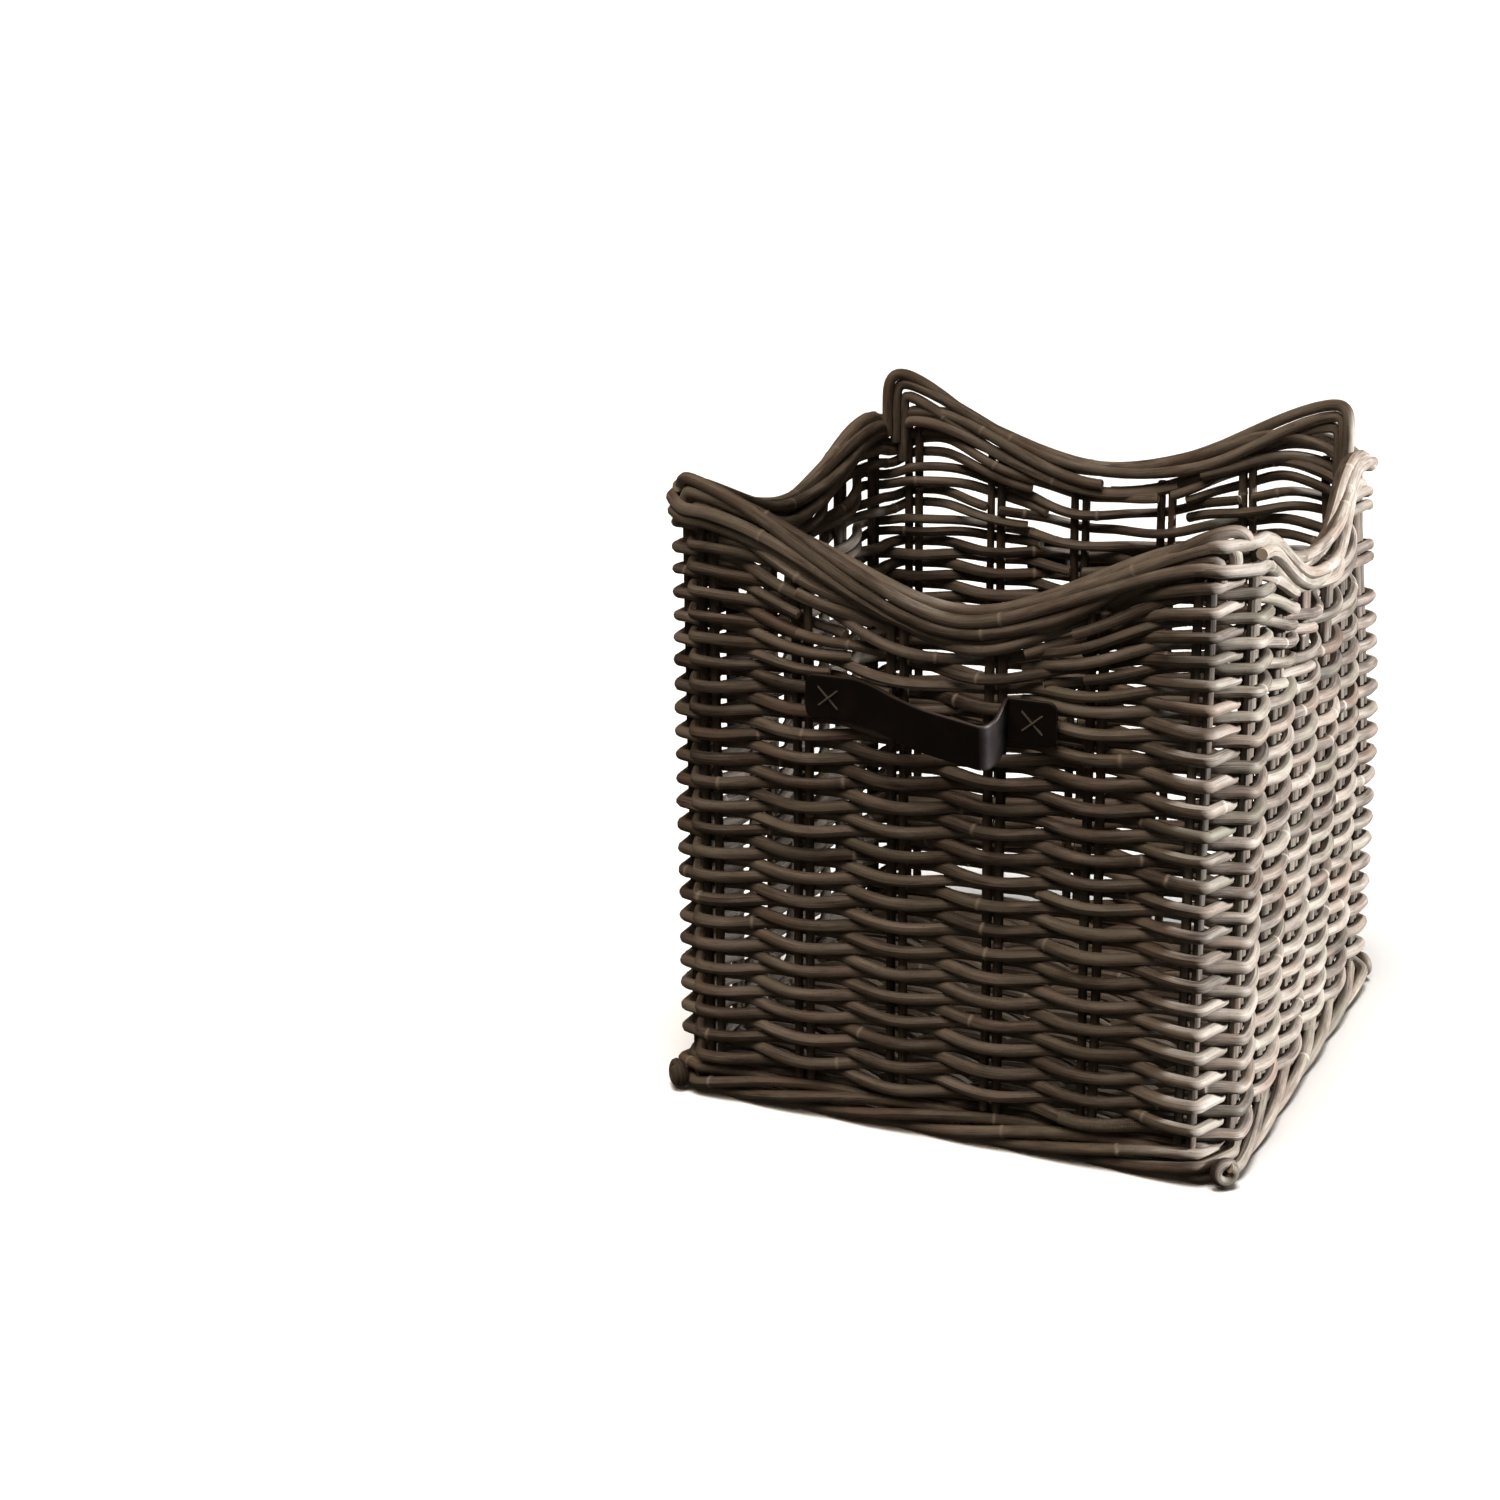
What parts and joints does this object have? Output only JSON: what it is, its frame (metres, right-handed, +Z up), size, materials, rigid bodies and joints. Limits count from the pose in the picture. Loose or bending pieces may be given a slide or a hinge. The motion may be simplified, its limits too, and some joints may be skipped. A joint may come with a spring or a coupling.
{
  "type": "wicker log basket",
  "caption": "Square woven rattan log basket with a dipped rim, raised corner ears, a twined foot and a swinging leather strap handle on two opposite sides.",
  "frame": {"origin": "on the floor, under the middle of the basket", "axes": "+Z up, +X to the right along the front face, +Y towards the back; the handles are on the front and back faces"},
  "size_m": [0.51, 0.5618, 0.543],
  "materials": {
    "weave_cane": "weathered grey-brown unpeeled rattan, dry and matte",
    "stake_cane": "dark grey-brown rattan rod, matte",
    "rim_cane": "weathered grey-brown rattan rod, slightly polished by handling",
    "foot_cane": "weathered grey-brown rattan rod, scuffed",
    "strap_leather": "near-black brown smooth saddle leather, satin",
    "stitch_thread": "waxed grey linen thread"
  },
  "bodies": {
    "basket": {"back_foot_border": "foot_cane", "back_handle_left_end": "strap_leather", "back_handle_left_stitch": "stitch_thread", "back_handle_right_end": "strap_leather", "back_handle_right_stitch": "stitch_thread", "back_left_corner_weave": "weave_cane", "back_left_foot_corner": "foot_cane", "back_left_rim_ear": "rim_cane", "back_right_corner_weave": "weave_cane", "back_right_foot_corner": "foot_cane", "back_right_rim_ear": "rim_cane", "back_rim_border": "rim_cane", "back_stake_pair_1": "stake_cane", "back_stake_pair_2": "stake_cane", "back_stake_pair_3": "stake_cane", "back_stake_pair_4": "stake_cane", "back_stake_pair_5": "stake_cane", "back_stake_pair_6": "stake_cane", "back_wall_weave": "weave_cane", "base_stick_pairs": "stake_cane", "base_weave": "weave_cane", "front_foot_border": "foot_cane", "front_handle_left_end": "strap_leather", "front_handle_left_stitch": "stitch_thread", "front_handle_right_end": "strap_leather", "front_handle_right_stitch": "stitch_thread", "front_left_corner_weave": "weave_cane", "front_left_foot_corner": "foot_cane", "front_left_rim_ear": "rim_cane", "front_right_corner_weave": "weave_cane", "front_right_foot_corner": "foot_cane", "front_right_rim_ear": "rim_cane", "front_rim_border": "rim_cane", "front_stake_pair_1": "stake_cane", "front_stake_pair_2": "stake_cane", "front_stake_pair_3": "stake_cane", "front_stake_pair_4": "stake_cane", "front_stake_pair_5": "stake_cane", "front_stake_pair_6": "stake_cane", "front_wall_weave": "weave_cane", "left_foot_border": "foot_cane", "left_rim_border": "rim_cane", "left_stake_pair_1": "stake_cane", "left_stake_pair_2": "stake_cane", "left_stake_pair_3": "stake_cane", "left_stake_pair_4": "stake_cane", "left_stake_pair_5": "stake_cane", "left_stake_pair_6": "stake_cane", "left_wall_weave": "weave_cane", "right_foot_border": "foot_cane", "right_rim_border": "rim_cane", "right_stake_pair_1": "stake_cane", "right_stake_pair_2": "stake_cane", "right_stake_pair_3": "stake_cane", "right_stake_pair_4": "stake_cane", "right_stake_pair_5": "stake_cane", "right_stake_pair_6": "stake_cane", "right_wall_weave": "weave_cane"},
    "front_handle": {"front_handle_strap": "strap_leather"},
    "back_handle": {"back_handle_strap": "strap_leather"}
  },
  "joints": [
    {"name": "front_handle_swing", "type": "hinge", "parent": "basket", "child": "front_handle", "pos_m": [0, -0.248, 0.375], "axis": [-1, 0, 0], "range_deg": [-25, 55]},
    {"name": "back_handle_swing", "type": "hinge", "parent": "basket", "child": "back_handle", "pos_m": [0, 0.248, 0.375], "axis": [1, 0, 0], "range_deg": [-25, 55]}
  ]
}
